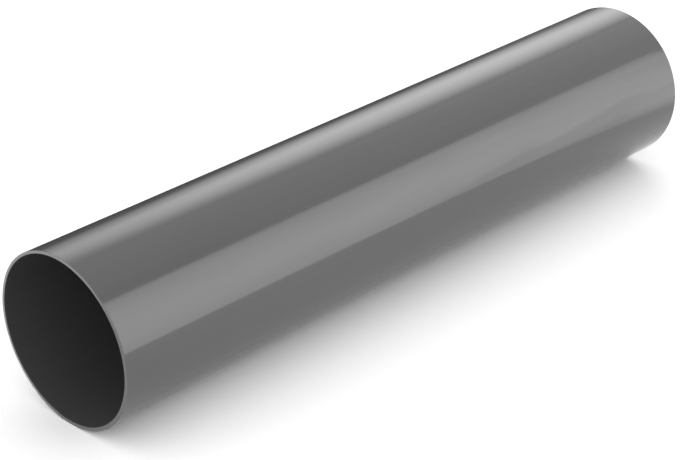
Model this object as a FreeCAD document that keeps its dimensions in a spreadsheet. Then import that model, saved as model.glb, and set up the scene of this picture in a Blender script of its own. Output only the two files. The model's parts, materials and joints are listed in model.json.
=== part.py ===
import FreeCAD, Part
import Sketcher
import os

# A straight length of round rainwater downpipe, sawn square at both ends and lying on its side.
# Millimetres. +Y runs along the pipe, from the near end to the far end, and +Z is up.
# The origin is on the floor, under the middle of the pipe.

DRIVING_DIMENSIONS = [
    ("outside_diameter", 110, "standard outside diameter of the pipe"),
    ("wall_thickness", 2.2, "wall of the thin rainwater and waste grade"),
    ("pipe_length", 513, "distance between the two sawn ends"),
    ("edge_break", 0.3, "bevel left on each rim edge once the saw burr is scraped off"),
]

doc = FreeCAD.newDocument("downpipe")


# Driving dimensions
sheet = doc.addObject("Spreadsheet::Sheet", "dimensions")
for row, (alias, value, meaning) in enumerate(DRIVING_DIMENSIONS, start=1):
    sheet.set(f"A{row}", alias)
    sheet.set(f"B{row}", str(value))
    sheet.set(f"C{row}", meaning)
    sheet.setAlias(f"B{row}", alias)
doc.recompute()


def origin_plane(body, role):
    """The body's own origin plane with that role."""
    return next(plane for plane in body.Origin.OriginFeatures if plane.Role == role)


def draw_section(body):
    """The pipe's cross-section: two circles round one centre, which stands a radius above the floor."""
    section = body.newObject("Sketcher::SketchObject", "pipe_section")
    section.AttachmentSupport = [(origin_plane(body, "XZ_Plane"), "")]
    section.MapMode = "FlatFace"
    centre = FreeCAD.Vector(0, sheet.outside_diameter / 2, 0)
    normal = FreeCAD.Vector(0, 0, 1)
    outer_radius = sheet.outside_diameter / 2
    inner_radius = outer_radius - sheet.wall_thickness
    outer = section.addGeometry(Part.Circle(centre, normal, outer_radius))
    inner = section.addGeometry(Part.Circle(centre, normal, inner_radius))

    # A circle's centre is its point 3, the sketch's origin is point 1 of geometry -1,
    # and geometry -2 is the sketch's upright axis.
    section.addConstraint(Sketcher.Constraint("PointOnObject", outer, 3, -2))
    section.addConstraint(Sketcher.Constraint("Coincident", inner, 3, outer, 3))
    sizes = {
        "axis_height": ("DistanceY", -1, 1, outer, 3, outer_radius),
        "outer_circle": ("Diameter", outer, 2 * outer_radius),
        "inner_circle": ("Diameter", inner, 2 * inner_radius),
    }
    bindings = {
        "axis_height": "dimensions.outside_diameter / 2",
        "outer_circle": "dimensions.outside_diameter",
        "inner_circle": "dimensions.outside_diameter - 2 * dimensions.wall_thickness",
    }
    for name, constraint in sizes.items():
        index = section.addConstraint(Sketcher.Constraint(*constraint))
        section.renameConstraint(index, name)
        section.setExpression(f"Constraints.{name}", bindings[name])
    return section


def extrude_pipe(body, section):
    """The section pushed out by half the pipe's length to each side of the origin."""
    pad = body.newObject("PartDesign::Pad", "pipe_run")
    pad.Profile = section
    pad.SideType = "Symmetric"
    pad.setExpression("Length", "dimensions.pipe_length")
    doc.recompute()
    return pad


def break_rim_edges(body, pad):
    """A small bevel on the inner and outer edge of each sawn end."""
    rim_edges = [
        f"Edge{number}"
        for number, edge in enumerate(pad.Shape.Edges, start=1)
        if isinstance(edge.Curve, Part.Circle)
    ]
    bevel = body.newObject("PartDesign::Chamfer", "rim_edge_break")
    bevel.Base = (pad, rim_edges)
    bevel.setExpression("Size", "dimensions.edge_break")
    return bevel


def make_pipe():
    """The whole downpipe, one extruded piece."""
    body = doc.addObject("PartDesign::Body", "pipe")
    body.Label = "pipe"
    body.Placement = FreeCAD.Placement()
    section = draw_section(body)
    pad = extrude_pipe(body, section)
    body.Tip = break_rim_edges(body, pad)
    return body


def check(sub_parts):
    """Stops before anything is written if a feature failed or a shape is empty or invalid."""
    failed = [
        thing.Name
        for thing in doc.Objects
        if "Invalid" in thing.State or "Error" in thing.State
    ]
    if failed:
        raise RuntimeError(f"these objects failed to compute: {failed}")
    for sub_part in sub_parts:
        if sub_part.Shape.isNull() or not sub_part.Shape.isValid():
            raise RuntimeError(f"{sub_part.Label} has no valid shape")
        if len(sub_part.Shape.Solids) != 1:
            raise RuntimeError(f"{sub_part.Label} is not one solid")


sub_parts = [make_pipe()]
doc.recompute()
check(sub_parts)

os.makedirs("parts", exist_ok=True)
for sub_part in sub_parts:
    sub_part.Shape.exportStep(f"parts/{sub_part.Label}.step")
    extent = sub_part.Shape.BoundBox
    print(
        f"{sub_part.Label}: {extent.XLength:.2f} x {extent.YLength:.2f} x {extent.ZLength:.2f} mm, "
        f"{sub_part.Shape.Volume / 1000:.1f} cm3"
    )
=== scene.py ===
import json
import math

import bmesh
import bpy
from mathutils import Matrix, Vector


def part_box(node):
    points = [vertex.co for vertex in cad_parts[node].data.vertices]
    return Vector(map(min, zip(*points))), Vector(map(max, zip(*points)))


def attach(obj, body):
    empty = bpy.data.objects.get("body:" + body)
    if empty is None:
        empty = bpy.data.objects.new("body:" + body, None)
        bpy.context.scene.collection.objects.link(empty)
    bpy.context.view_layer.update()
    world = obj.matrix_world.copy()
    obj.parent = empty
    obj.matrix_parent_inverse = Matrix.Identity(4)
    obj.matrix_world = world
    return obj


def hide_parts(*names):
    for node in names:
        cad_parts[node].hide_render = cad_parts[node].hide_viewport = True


# A length of round grey plastic downpipe, lying on a white floor under soft studio light.
# Metres. +Y runs along the pipe from the near end to the far end, +X is the camera's side.

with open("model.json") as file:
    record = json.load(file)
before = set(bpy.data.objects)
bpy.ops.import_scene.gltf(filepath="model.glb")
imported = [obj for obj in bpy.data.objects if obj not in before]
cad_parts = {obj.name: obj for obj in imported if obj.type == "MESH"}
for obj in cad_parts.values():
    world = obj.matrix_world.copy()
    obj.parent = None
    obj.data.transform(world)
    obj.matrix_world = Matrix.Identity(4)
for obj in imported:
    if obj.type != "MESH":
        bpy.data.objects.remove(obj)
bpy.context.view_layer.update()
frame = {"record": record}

MM = 0.001

# The pipe's own sizes, all read from the frame
pipe_low, pipe_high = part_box("pipe")
bore = next(mount for mount in frame["record"]["mounts"] if mount["name"] == "bore")
DIAMETER = pipe_high.z - pipe_low.z
RADIUS = DIAMETER / 2
BORE_RADIUS = bore["dims"]["r_mm"] * MM
LENGTH = pipe_high.y - pipe_low.y
AXIS_HEIGHT = bore["pos_m"][2]
NEAR_END = pipe_low.y
FAR_END = pipe_high.y

# The solid's bevel, and the crisper edges that the photograph shows
EDGE_BREAK = (LENGTH - bore["dims"]["length_mm"] * MM) / 2
RIM_EDGE_BREAK = EDGE_BREAK / 2
BORE_EDGE_BREAK = EDGE_BREAK / 3

# The camera's place in pipe diameters: to the side of the pipe's axis, in front of its near end
# and above the floor
CAMERA_SIDE = 6.901
CAMERA_IN_FRONT = 5.135
CAMERA_HEIGHT = 5.626
CAMERA_AZIMUTH = math.radians(43.861)
CAMERA_ELEVATION = math.radians(27.822)
SENSOR_MM = 36.0
LENS_MM = 102.50

# Irregularities of an extruded and sawn pipe. Angles run round the axis from the top towards +X.
OVALITY = 0.1 * MM
OVAL_TURN = math.radians(215)
HAUL_OFF_RIPPLE = 0.02 * MM
HAUL_OFF_WAVELENGTH = 68 * MM
HAUL_OFF_TWIST = 1.3
BORE_SHIFT_SIDE = -0.35 * MM
BORE_SHIFT_UP = 0.22 * MM
NEAR_CUT_SLANT, NEAR_CUT_TURN = 0.37 * MM, math.radians(147)
FAR_CUT_SLANT, FAR_CUT_TURN = 0.17 * MM, math.radians(226)

# The saw blade's flutter: its depth, the coarse and the fine wave across the cut, in radians per
# radius, and how deep the fine one is beside the coarse one
SAW_FLUTTER = 0.02 * MM
COARSE_FLUTTER, FINE_FLUTTER = 23, 41
FINE_FLUTTER_SHARE = 0.7

# How finely the mesh is divided, and how far from an end its cut still moves the wall
SEGMENTS_AROUND = 384
WALL_RINGS = 49
SUPPORT_RING = 0.5 * MM
BEVEL_STEPS = 3
CUT_FACE_STEPS = 3
CUT_REACH = 2 * EDGE_BREAK + SUPPORT_RING

# The pipe's surfaces, numbered as its material slots
OUTSIDE, SAWN, INSIDE = 0, 1, 2

# Colours and finish
PLASTIC_GREY = 0.0955
# The bore's grey is darker than the outside's: painted shade inside the bore
BORE_GREY_WITH_PAINTED_SHADE = 0.069
SAWN_GREY = 0.285
GLOSS_ROUGHNESS = 0.095
BORE_ROUGHNESS = 0.28
SAWN_ROUGHNESS = 0.62
PLASTIC_IOR = 1.53
STREAK_DEPTH = 0.02
HAZE_DEPTH = 0.1
DIE_LINE_DEPTH = 0.0004 * MM
SAW_MARK_DEPTH = 0.04 * MM

# The turn from straight up towards -X of the palest part of the sawn rims: painted light lies there, and
# painted shade on the opposite side
PAINTED_RIM_LIGHT_LEAN = math.radians(55)

# The plastic's grain: cells per metre across the pipe and along it
STREAK_GRAIN = (420, 3)
CLOUD_GRAIN = (22, 9)
HAZE_GRAIN = (60, 14)
DIE_LINE_GRAIN = (900, 2.5)
SAW_MARKS_PER_METRE = 420.0
SAW_FUZZ_PER_METRE = 2400.0

# The floor passes on light to dull surfaces at its first albedo. The camera and the gloss see it
# at its second, which is white where no shadow falls.
FLOOR_RADIUS = 14.0
FLOOR_SEGMENTS = 128
FLOOR_ALBEDO = 0.57
FLOOR_SEEN_ALBEDO = 1.23

# The strength of each light
WORLD_STRENGTH = 1.42
SIDE_LAMP_RADIANCE = 0.26
END_LAMP_RADIANCE = 0.9
RIGHT_PANEL_PEAK = 3.75
LEFT_PANEL_PEAK = 2.88

# The left panel's low and high edges, in degrees from straight up, and its two ends along the pipe
# and its distance from the pipe's axis, in pipe diameters
LEFT_PANEL_LOW, LEFT_PANEL_HIGH = 92.0, 22.0
LEFT_PANEL_FIRST, LEFT_PANEL_LAST = -12.0, 30.0
LEFT_PANEL_REACH = 8.0
LEFT_PANEL_STEPS = 24


def wall_offset(angle, place):
    """How far the outer wall lies inside its nominal radius, at an angle and a place along the axis."""
    oval = OVALITY * (0.5 + 0.5 * math.cos(2 * (angle - OVAL_TURN)))
    ripple = math.sin(2 * math.pi * place / HAUL_OFF_WAVELENGTH + HAUL_OFF_TWIST * math.sin(angle))
    return oval + HAUL_OFF_RIPPLE * (0.5 + 0.5 * ripple)


def bore_offset(angle):
    """How far the bore lies outside its nominal radius: the die's core was a little off centre."""
    return BORE_SHIFT_SIDE * math.sin(angle) + BORE_SHIFT_UP * math.cos(angle)


def saw_offset(angle, end):
    """How far a sawn face lies inside its nominal plane: a little out of square and not quite flat."""
    slant, turn = (NEAR_CUT_SLANT, NEAR_CUT_TURN) if end < 0 else (FAR_CUT_SLANT, FAR_CUT_TURN)
    across = math.cos(angle - turn)
    flutter = math.sin(COARSE_FLUTTER * across)
    flutter = flutter + FINE_FLUTTER_SHARE * math.sin(FINE_FLUTTER * across + end)
    return slant * (1 + across) + SAW_FLUTTER * (1 + FINE_FLUTTER_SHARE + flutter)


def wall_places(edge_break):
    """Places of a wall's rings along the axis, with a support ring close to each edge break."""
    wall_end = LENGTH / 2 - edge_break
    inner = wall_end - SUPPORT_RING
    steps = [-inner + 2 * inner * i / (WALL_RINGS - 1) for i in range(WALL_RINGS)]
    return [-wall_end] + steps + [wall_end]


def rounded_edge(radius, reach, end, to_face, zone):
    """Section points of a broken edge between the wall at radius and the cut face at end, -1 or 1.

    They run from wall to face, or back where to_face is False. The outer wall's reach is below nought.
    """
    turns = [math.pi / 2 * i / BEVEL_STEPS for i in range(1, BEVEL_STEPS)]
    if not to_face:
        turns = [math.pi / 2 - turn for turn in turns]
    foot = LENGTH / 2 - abs(reach)
    return [
        (radius + reach * (1 - math.cos(turn)), end * (foot + abs(reach) * math.sin(turn)), zone)
        for turn in turns
    ]


def cut_face(start, stop, end, next_zone):
    """Section points across a cut face, from one radius to another."""
    step = (stop - start) / CUT_FACE_STEPS
    points = [(start + step * i, end * LENGTH / 2, SAWN) for i in range(CUT_FACE_STEPS)]
    return points + [(stop, end * LENGTH / 2, next_zone)]


def profile():
    """The wall's section as a closed loop of (radius, place along the axis, zone of the next face)."""
    middle = (NEAR_END + FAR_END) / 2
    outer_lip = RADIUS - RIM_EDGE_BREAK
    inner_lip = BORE_RADIUS + BORE_EDGE_BREAK
    loop = [(RADIUS, place, OUTSIDE) for place in wall_places(RIM_EDGE_BREAK)]
    loop = loop + rounded_edge(RADIUS, -RIM_EDGE_BREAK, 1, True, OUTSIDE)
    loop = loop + cut_face(outer_lip, inner_lip, 1, INSIDE)
    loop = loop + rounded_edge(BORE_RADIUS, BORE_EDGE_BREAK, 1, False, INSIDE)
    loop = loop + [(BORE_RADIUS, place, INSIDE) for place in reversed(wall_places(BORE_EDGE_BREAK))]
    loop = loop + rounded_edge(BORE_RADIUS, BORE_EDGE_BREAK, -1, True, INSIDE)
    loop = loop + cut_face(inner_lip, outer_lip, -1, SAWN)
    loop = loop + rounded_edge(RADIUS, -RIM_EDGE_BREAK, -1, False, OUTSIDE)
    return [(radius, place + middle, zone) for radius, place, zone in loop]


def real_point(angle, radius, place):
    """Where a point of the nominal section lies on the pipe, with its irregularities."""
    outside_share = max(0.0, (radius - BORE_RADIUS) / (RADIUS - BORE_RADIUS))
    reach = radius - outside_share * wall_offset(angle, place)
    reach = reach + (1 - outside_share) * bore_offset(angle)
    end = 1 if place > 0 else -1
    near_cut = max(0.0, 1 - (LENGTH / 2 - abs(place)) / CUT_REACH)
    along = place - end * near_cut * saw_offset(angle, end)
    return (reach * math.sin(angle), along, AXIS_HEIGHT + reach * math.cos(angle))


def make_pipe():
    """The pipe as one closed mesh: outer wall, two sawn rims with broken edges, and bore."""
    loop = profile()
    mesh = bpy.data.meshes.new("downpipe_length")
    bm = bmesh.new()
    rings = []
    for i in range(SEGMENTS_AROUND):
        angle = 2 * math.pi * i / SEGMENTS_AROUND
        rings.append([bm.verts.new(real_point(angle, radius, place)) for radius, place, _ in loop])
    for i in range(SEGMENTS_AROUND):
        this, following = rings[i], rings[(i + 1) % SEGMENTS_AROUND]
        for j in range(len(loop)):
            k = (j + 1) % len(loop)
            quad = bm.faces.new((this[j], this[k], following[k], following[j]))
            quad.smooth = True
            quad.material_index = loop[j][2]
    bmesh.ops.recalc_face_normals(bm, faces=bm.faces)
    bm.to_mesh(mesh)
    bm.free()
    pipe = bpy.data.objects.new("downpipe_length", mesh)
    bpy.context.scene.collection.objects.link(pipe)
    return pipe


class Nodes:
    """A short way to write a node tree."""

    def __init__(self, tree):
        self.tree = tree
        tree.nodes.clear()

    def add(self, kind, settings=None, **inputs):
        """A new node. An input's name has underscores for its spaces."""
        node = self.tree.nodes.new(kind)
        for name, value in (settings or {}).items():
            setattr(node, name, value)
        for name, value in inputs.items():
            self.feed(node, name.replace("_", " "), value)
        return node

    def feed(self, node, key, value):
        """Links or sets an input, by its name or, where names repeat, by its number."""
        socket = node.inputs[key]
        if isinstance(value, bpy.types.NodeSocket):
            self.tree.links.new(value, socket)
        else:
            socket.default_value = value

    def combine(self, operation, first, second):
        """The result of a Math node."""
        node = self.add("ShaderNodeMath", {"operation": operation})
        self.feed(node, 0, first)
        self.feed(node, 1, second)
        return node.outputs[0]

    def plus(self, first, second):
        return self.combine("ADD", first, second)

    def minus(self, first, second):
        return self.combine("SUBTRACT", first, second)

    def times(self, first, second):
        return self.combine("MULTIPLY", first, second)

    def ramp(self, value, stops):
        """A level that follows (value, level) stops."""
        node = self.add("ShaderNodeValToRGB", Fac=value)
        node.color_ramp.interpolation = "EASE"
        while len(node.color_ramp.elements) < len(stops):
            node.color_ramp.elements.new(1.0)
        for element, (position, level) in zip(node.color_ramp.elements, stops):
            element.position = position
            element.color = grey(level)
        return node.outputs["Color"]

    def output(self, shader, kind="ShaderNodeOutputMaterial"):
        self.add(kind, Surface=shader)


def grey(value):
    return (value, value, value, 1.0)


def new_material(name):
    material = bpy.data.materials.new(name)
    material.use_nodes = True
    return material, Nodes(material.node_tree)


def stretched_noise(nodes, grain, detail=2.0, roughness=0.5):
    """Noise drawn out along the pipe, as the die and the haul-off leave it."""
    across, along = grain
    place = nodes.add("ShaderNodeTexCoord")
    scale = (across, along, across)
    mapping = nodes.add("ShaderNodeMapping", Vector=place.outputs["Object"], Scale=scale)
    noise = nodes.add(
        "ShaderNodeTexNoise", Vector=mapping.outputs["Vector"],
        Scale=1.0, Detail=detail, Roughness=roughness,
    )
    return noise.outputs["Fac"]


def ranged(nodes, value, low, high):
    """A noise value spread over low to high. Few of its values lie outside the middle half."""
    spread = nodes.add(
        "ShaderNodeMapRange", {"interpolation_type": "SMOOTHSTEP"},
        Value=value, From_Min=0.25, From_Max=0.75, To_Min=low, To_Max=high,
    )
    return spread.outputs["Result"]


def tinted(nodes, base, shade):
    """A grey multiplied by a shade, in the colour sockets of a Mix node."""
    factor, first, second, result = 0, 6, 7, 2
    tint = nodes.add("ShaderNodeMix", {"data_type": "RGBA", "blend_type": "MULTIPLY"})
    nodes.feed(tint, factor, 1.0)
    nodes.feed(tint, first, grey(base))
    nodes.feed(tint, second, shade)
    return tint.outputs[result]


def streaked_colour(nodes, base):
    """Grey with faint pigment streaks along the extrusion and slow cloudy changes."""
    low, high = 1 - STREAK_DEPTH, 1 + STREAK_DEPTH
    streaks = ranged(nodes, stretched_noise(nodes, STREAK_GRAIN), low, high)
    clouds = ranged(nodes, stretched_noise(nodes, CLOUD_GRAIN), low, high)
    return tinted(nodes, base, nodes.times(streaks, clouds))


def outer_plastic():
    """The outer wall: even grey, smooth gloss, a faint haze and fainter die lines along the pipe."""
    material, nodes = new_material("grey_plastic")
    cloud = stretched_noise(nodes, HAZE_GRAIN, detail=5, roughness=0.6)
    haze = ranged(nodes, cloud, GLOSS_ROUGHNESS * (1 - HAZE_DEPTH), GLOSS_ROUGHNESS * (1 + HAZE_DEPTH))
    lines = stretched_noise(nodes, DIE_LINE_GRAIN, detail=3)
    bump = nodes.add("ShaderNodeBump", Height=lines, Strength=1.0, Distance=DIE_LINE_DEPTH)
    surface = nodes.add(
        "ShaderNodeBsdfPrincipled", Base_Color=streaked_colour(nodes, PLASTIC_GREY),
        Roughness=haze, IOR=PLASTIC_IOR, Normal=bump.outputs["Normal"],
    )
    nodes.output(surface.outputs["BSDF"])
    return material


def bore_plastic():
    """The bore: duller than the outside, and a darker grey that paints shade inside it."""
    material, nodes = new_material("grey_plastic_bore")
    surface = nodes.add(
        "ShaderNodeBsdfPrincipled", Base_Color=streaked_colour(nodes, BORE_GREY_WITH_PAINTED_SHADE),
        Roughness=BORE_ROUGHNESS, IOR=PLASTIC_IOR,
    )
    nodes.output(surface.outputs["BSDF"])
    return material


def painted_rim_light_and_shade(nodes, place):
    """Painted light and shade on the cut, as seen from the near end: painted shade at its lower right,
    painted light at its upper left.
    """
    parts = nodes.add("ShaderNodeSeparateXYZ", Vector=place)
    leftward = nodes.times(parts.outputs["X"], -math.sin(PAINTED_RIM_LIGHT_LEAN) / DIAMETER)
    height = nodes.minus(parts.outputs["Z"], AXIS_HEIGHT)
    upward = nodes.times(height, math.cos(PAINTED_RIM_LIGHT_LEAN) / DIAMETER)
    share = nodes.plus(nodes.plus(leftward, upward), 0.5)
    return nodes.ramp(share, [(0.25, 0.51), (0.42, 0.61), (0.6, 0.84), (0.76, 0.95), (1.0, 1.0)])


def sawn_plastic():
    """The cut rims: paler and matt, with the fine parallel marks of a saw blade, painted light at their
    upper left and painted shade at their lower right.
    """
    material, nodes = new_material("sawn_rim")
    place = nodes.add("ShaderNodeTexCoord").outputs["Object"]
    marks = nodes.add(
        "ShaderNodeTexWave", {"bands_direction": "DIAGONAL"}, Vector=place,
        Scale=SAW_MARKS_PER_METRE, Distortion=3.0, Detail=3.0,
    )
    bump = nodes.add(
        "ShaderNodeBump", Height=marks.outputs["Fac"], Strength=0.6, Distance=SAW_MARK_DEPTH
    )
    fuzz = nodes.add("ShaderNodeTexNoise", Vector=place, Scale=SAW_FUZZ_PER_METRE, Detail=3.0)
    # The rims' tone: painted light and shade, times a fine random fuzz
    shade = nodes.times(painted_rim_light_and_shade(nodes, place), ranged(nodes, fuzz.outputs["Fac"], 0.88, 1.1))
    surface = nodes.add(
        "ShaderNodeBsdfPrincipled", Base_Color=tinted(nodes, SAWN_GREY, shade),
        Roughness=SAWN_ROUGHNESS, IOR=PLASTIC_IOR, Normal=bump.outputs["Normal"],
    )
    nodes.output(surface.outputs["BSDF"])
    return material


def seen_directly(nodes):
    """1 for camera, glossy and transmission rays, 0 for the rest."""
    path = nodes.add("ShaderNodeLightPath")
    seen = nodes.combine("MAXIMUM", path.outputs["Is Camera Ray"], path.outputs["Is Glossy Ray"])
    return nodes.combine("MAXIMUM", seen, path.outputs["Is Transmission Ray"])


def white_floor():
    """A dull white that is lit by the same light as the pipe, and so keeps its shadow."""
    material, nodes = new_material("white_floor")
    lit = nodes.add("ShaderNodeBsdfDiffuse", Color=grey(FLOOR_ALBEDO))
    seen = nodes.add("ShaderNodeBsdfDiffuse", Color=grey(FLOOR_SEEN_ALBEDO))
    mix = nodes.add("ShaderNodeMixShader", Fac=seen_directly(nodes))
    nodes.feed(mix, 1, lit.outputs["BSDF"])
    nodes.feed(mix, 2, seen.outputs["BSDF"])
    nodes.output(mix.outputs["Shader"])
    return material


def make_floor():
    """A round floor, level with the bottom of the solid pipe."""
    bm = bmesh.new()
    bmesh.ops.create_circle(bm, cap_ends=True, radius=FLOOR_RADIUS, segments=FLOOR_SEGMENTS)
    mesh = bpy.data.meshes.new("floor")
    bm.to_mesh(mesh)
    bm.free()
    mesh.materials.append(white_floor())
    floor = bpy.data.objects.new("floor", mesh)
    floor.location.z = pipe_low.z
    bpy.context.scene.collection.objects.link(floor)


def studio_point(side, along, height=0.0):
    """A point in the studio, given in pipe diameters from the floor under the near end's centre."""
    return Vector((side * DIAMETER, NEAR_END + along * DIAMETER, pipe_low.z + height * DIAMETER))


def sheet(name, rows):
    """A thin sheet through rows of points, with a map of (share along the row, share of the way up).

    The camera and dull surfaces don't see it, and it casts no shadow.
    """
    width = len(rows[0])
    mesh = bpy.data.meshes.new(name)
    faces = [
        (r * width + i, r * width + i + 1, (r + 1) * width + i + 1, (r + 1) * width + i)
        for r in range(len(rows) - 1)
        for i in range(width - 1)
    ]
    mesh.from_pydata([tuple(point) for row in rows for point in row], [], faces)
    uv = mesh.uv_layers.new(name="sheet")
    for loop in mesh.loops:
        r, i = divmod(loop.vertex_index, width)
        uv.data[loop.index].uv = (i / (width - 1), r / (len(rows) - 1))
    card = bpy.data.objects.new(name, mesh)
    bpy.context.scene.collection.objects.link(card)
    card.visible_camera = False
    card.visible_diffuse = False
    card.visible_shadow = False
    return card


def sheet_place(nodes):
    """Where a point is on its sheet: share along the row, share of the way up."""
    place = nodes.add("ShaderNodeUVMap", {"uv_map": "sheet"})
    parts = nodes.add("ShaderNodeSeparateXYZ", Vector=place.outputs["UV"])
    return parts.outputs["X"], parts.outputs["Y"]


def glow_with(panel, nodes, material, level, peak):
    """Gives the panel a light of peak times level."""
    glow = nodes.add("ShaderNodeEmission", Color=level, Strength=peak)
    nodes.output(glow.outputs["Emission"])
    panel.data.materials.append(material)


def make_world():
    """Soft light from all round: white round the horizon, dimmer overhead and high on the right.

    It is brighter in front of the near end than beyond the far end. From low on the left, dull
    surfaces get less of it than the camera and the gloss see.
    """
    world = bpy.data.worlds.new("studio")
    world.use_nodes = True
    nodes = Nodes(world.node_tree)
    place = nodes.add("ShaderNodeTexCoord")
    parts = nodes.add("ShaderNodeSeparateXYZ", Vector=place.outputs["Generated"])
    rightward, upward = parts.outputs["X"], parts.outputs["Z"]

    by_height = nodes.ramp(upward, [(0.0, 0.9), (0.45, 1.0), (0.64, 0.95), (0.82, 0.78), (1.0, 0.68)])
    on_right = nodes.ramp(
        nodes.times(rightward, 2.0), [(0.0, 0.02), (0.16, 0.04), (0.5, 0.16), (0.8, 0.3), (1.0, 0.34)]
    )
    aloft = nodes.ramp(upward, [(0.3, 0.0), (0.52, 0.3), (0.64, 0.8), (0.7, 1.0)])
    kept = nodes.minus(1.0, nodes.times(on_right, aloft))
    front = nodes.ramp(nodes.times(parts.outputs["Y"], -1.0), [(0.0, 0.86), (0.4, 1.01), (1.0, 1.06)])

    on_left = nodes.ramp(nodes.times(rightward, -1.0), [(0.0, 0.0), (0.4, 0.03), (0.8, 0.42)])
    near_floor = nodes.ramp(upward, [(0.0, 0.8), (0.2, 0.5), (0.5, 0.2), (0.75, 0.0)])
    unseen = nodes.minus(1.0, seen_directly(nodes))
    open_low = nodes.minus(1.0, nodes.times(nodes.times(on_left, near_floor), unseen))

    level = nodes.times(nodes.times(by_height, kept), nodes.times(front, open_low))
    glow = nodes.add("ShaderNodeBackground", Color=level, Strength=WORLD_STRENGTH)
    nodes.output(glow.outputs["Background"], "ShaderNodeOutputWorld")
    bpy.context.scene.world = world


def make_right_panel():
    """Stands on the camera's side, round to beyond the far end: the broad band along the pipe's flank."""
    # Side, place along the pipe and height of each of its uprights, in pipe diameters
    uprights = [
        (5.4, 1.90, 9.15), (4.4, 3.10, 7.3), (3.6, 4.05, 5.84), (2.72, 4.56, 4.28),
        (2.14, 4.85, 3.32), (1.38, 5.20, 2.13), (0.8, 5.36, 1.34),
    ]
    feet = [studio_point(side, along) for side, along, _ in uprights]
    tops = [studio_point(side, along, height) for side, along, height in uprights]
    panel = sheet("right_panel", [feet, tops])
    material, nodes = new_material("right_panel")
    along, upward = sheet_place(nodes)
    fall = nodes.ramp(upward, [
        (0.0, 0.84), (0.1, 0.9), (0.2, 0.96), (0.35, 1.0), (0.56, 0.92), (0.85, 0.75), (1.0, 0.52),
    ])

    # Dimmer towards the foot of the last upright
    height_weight = 1.1
    from_corner = nodes.plus(nodes.minus(1.0, along), nodes.times(upward, height_weight))
    corner_fall = nodes.ramp(from_corner, [
        (0.0, 0.32), (0.12, 0.43), (0.25, 0.62), (0.36, 0.73),
        (0.5, 0.74), (0.62, 0.9), (0.8, 0.95), (1.0, 1.0),
    ])
    glow_with(panel, nodes, material, nodes.times(fall, corner_fall), RIGHT_PANEL_PEAK)


def left_panel_rows():
    """The left panel's points: rows along the pipe, on an arc round its axis, from low to high."""
    rows = []
    for r in range(LEFT_PANEL_STEPS + 1):
        share = r / LEFT_PANEL_STEPS
        turn = math.radians(LEFT_PANEL_LOW + (LEFT_PANEL_HIGH - LEFT_PANEL_LOW) * share)
        side = -LEFT_PANEL_REACH * math.sin(turn)
        height = 0.5 + LEFT_PANEL_REACH * math.cos(turn)
        rows.append([
            studio_point(side, LEFT_PANEL_FIRST, height), studio_point(side, LEFT_PANEL_LAST, height)
        ])
    return rows


def left_panel_spot(nodes, along, upward):
    """The left panel's oval spot of light, which leans and widens a little along the pipe."""
    centre_turn, turn_radius = 49.0, 41.0
    centre_along, along_radius = 10.5, 14.6
    widening, lean = 0.12, 0.035
    length = LEFT_PANEL_LAST - LEFT_PANEL_FIRST
    arc = LEFT_PANEL_LOW - LEFT_PANEL_HIGH
    centre_x = (centre_along - LEFT_PANEL_FIRST) / length
    centre_y = (LEFT_PANEL_LOW - centre_turn) / arc
    away_x = nodes.times(nodes.minus(along, centre_x), length / along_radius)
    turned = nodes.times(nodes.minus(upward, centre_y), arc / turn_radius)
    leaning = nodes.minus(turned, nodes.times(away_x, lean))
    away_y = nodes.times(leaning, nodes.minus(1.0, nodes.times(away_x, widening)))
    squares = nodes.plus(nodes.combine("POWER", away_x, 2.0), nodes.combine("POWER", away_y, 2.0))
    return nodes.ramp(nodes.combine("SQRT", squares, 0.0), [
        (0.0, 1.0), (0.15, 0.98), (0.25, 0.93), (0.35, 0.80), (0.45, 0.65), (0.55, 0.45),
        (0.65, 0.31), (0.75, 0.19), (0.85, 0.10), (1.0, 0.0),
    ])


def make_left_panel():
    """A curved sheet that follows the pipe on the far side: the soft highlight along the pipe's top."""
    panel = sheet("left_panel", left_panel_rows())
    material, nodes = new_material("left_panel")
    along, upward = sheet_place(nodes)
    spot = left_panel_spot(nodes, along, upward)
    sky = nodes.ramp(upward, [(0.0, 0.0), (0.6, 0.0), (0.9, 0.32), (1.0, 0.32)])
    haze = nodes.times(
        nodes.ramp(upward, [(0.0, 0.05), (0.08, 0.07), (0.26, 0.08), (0.38, 0.0)]),
        nodes.ramp(along, [(0.4, 0.15), (0.52, 1.0)]),
    )
    level = nodes.plus(nodes.combine("MAXIMUM", spot, sky), haze)
    glow_with(panel, nodes, material, level, LEFT_PANEL_PEAK)


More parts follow.
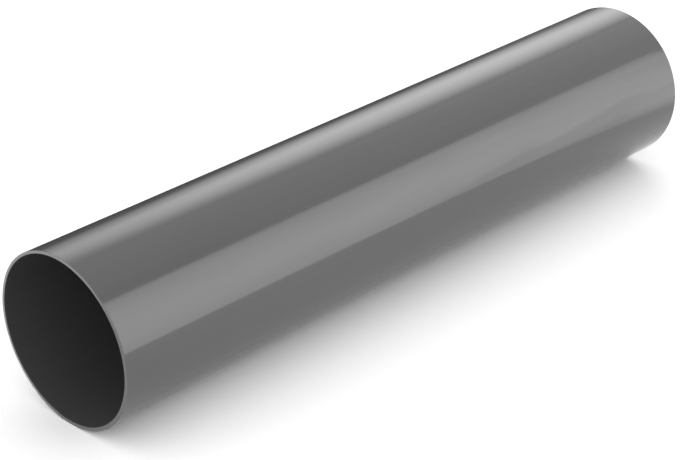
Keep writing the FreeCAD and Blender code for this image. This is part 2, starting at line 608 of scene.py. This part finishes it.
def make_flag():
    """A dark card behind the pipe: the dark line along the pipe's top outline."""
    side, first, last = -2.0, -8.0, 20.0
    first_height, last_height = 0.88, 1.0
    feet = [studio_point(side, first), studio_point(side, last)]
    tops = [studio_point(side, first, first_height), studio_point(side, last, last_height)]
    flag = sheet("flag", [feet, tops])
    material, nodes = new_material("flag")
    along, upward = sheet_place(nodes)
    shade = nodes.times(
        nodes.ramp(along, [(0.33, 0.055), (0.43, 0.11), (0.53, 0.19)]),
        nodes.ramp(upward, [(0.5, 0.8), (1.0, 1.5)]),
    )
    dark = nodes.add("ShaderNodeBsdfDiffuse", Color=shade)
    nodes.output(dark.outputs["BSDF"])
    flag.data.materials.append(material)


def soft_lamp(name, radiance, width, height, place, direction, spread=math.pi):
    """An area lamp that the gloss and the camera don't see. Its sizes are in pipe diameters."""
    data = bpy.data.lights.new(name, "AREA")
    data.shape = "RECTANGLE"
    data.size = width * DIAMETER
    data.size_y = height * DIAMETER
    data.spread = spread
    data.energy = radiance * math.pi * data.size * data.size_y
    lamp = bpy.data.objects.new(name, data)
    lamp.location = place
    lamp.rotation_euler = direction.to_track_quat("-Z", "Y").to_euler()
    lamp.visible_camera = False
    lamp.visible_glossy = False
    bpy.context.scene.collection.objects.link(lamp)


def make_side_lamp():
    """A large soft lamp on the camera's side: it lights the pipe's flank and the floor beside it."""
    place = studio_point(4.0, 1.9, 2.6)
    width, height = 6.0, 5.0
    soft_lamp("side_lamp", SIDE_LAMP_RADIANCE, width, height, place, Vector((-1, 0, 0)))


def make_end_lamp():
    """A small lamp beyond the far end, which lights the floor under that end."""
    place = studio_point(-0.8, 5.7, 0.6)
    direction = studio_point(0.3, 4.6) - place
    width, height = 0.5, 0.4
    soft_lamp("end_lamp", END_LAMP_RADIANCE, width, height, place, direction, math.radians(60))


def make_lights():
    make_world()
    make_right_panel()
    make_side_lamp()
    make_end_lamp()
    make_left_panel()
    make_flag()


def make_camera():
    data = bpy.data.cameras.new("camera")
    data.sensor_width = SENSOR_MM
    data.lens = LENS_MM
    camera = bpy.data.objects.new("camera", data)
    camera.location = studio_point(CAMERA_SIDE, -CAMERA_IN_FRONT, CAMERA_HEIGHT)
    camera.rotation_euler = (math.pi / 2 - CAMERA_ELEVATION, 0, CAMERA_AZIMUTH)
    bpy.context.scene.collection.objects.link(camera)
    bpy.context.scene.camera = camera


make_camera()
make_floor()
make_lights()

pipe = make_pipe()
for zone_material in (outer_plastic(), sawn_plastic(), bore_plastic()):
    pipe.data.materials.append(zone_material)
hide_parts("pipe")
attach(pipe, "root")

bpy.context.scene.view_settings.view_transform = "Standard"
